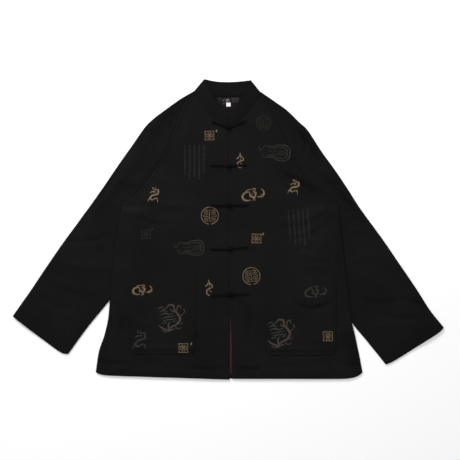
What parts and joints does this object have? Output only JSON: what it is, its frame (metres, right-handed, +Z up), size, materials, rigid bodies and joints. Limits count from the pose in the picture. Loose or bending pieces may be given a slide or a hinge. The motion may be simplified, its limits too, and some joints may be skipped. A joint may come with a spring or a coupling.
{
  "type": "tang jacket",
  "caption": "Long-sleeved tang jacket laid flat: stand collar, raglan sleeves, patch pockets, and front edges closed by knotted cord frogs.",
  "frame": {"origin": "centre of the plan outline, on the surface that the jacket lies on", "axes": "+X from the wearer's right cuff to the left cuff, +Y from hem to collar, +Z up from the surface, out of the jacket's front"},
  "size_m": [1.139, 0.7962, 0.0144],
  "materials": {
    "black_cloth": "matt plain weave",
    "frog_cord": "matt covered cord",
    "placket_red": "matt plain weave",
    "label_cloth": "woven label",
    "size_label_cloth": "woven tape",
    "print_gold": "matt print on the cloth",
    "print_rose": "matt print on the cloth",
    "print_grey": "faint matt print on the cloth"
  },
  "bodies": {
    "root": {"back": "black_cloth", "front_right": "black_cloth", "front_left": "black_cloth", "sleeve_right": "black_cloth", "sleeve_left": "black_cloth", "collar": "black_cloth", "pocket_right": "black_cloth", "pocket_left": "black_cloth", "under_placket": "placket_red", "neck_label": "label_cloth", "size_label": "size_label_cloth", "frog_knot_1": "frog_cord", "frog_loop_1": "frog_cord", "frog_knot_2": "frog_cord", "frog_loop_2": "frog_cord", "frog_knot_3": "frog_cord", "frog_loop_3": "frog_cord", "frog_knot_4": "frog_cord", "frog_loop_4": "frog_cord", "frog_knot_5": "frog_cord", "frog_loop_5": "frog_cord"}
  },
  "joints": []
}
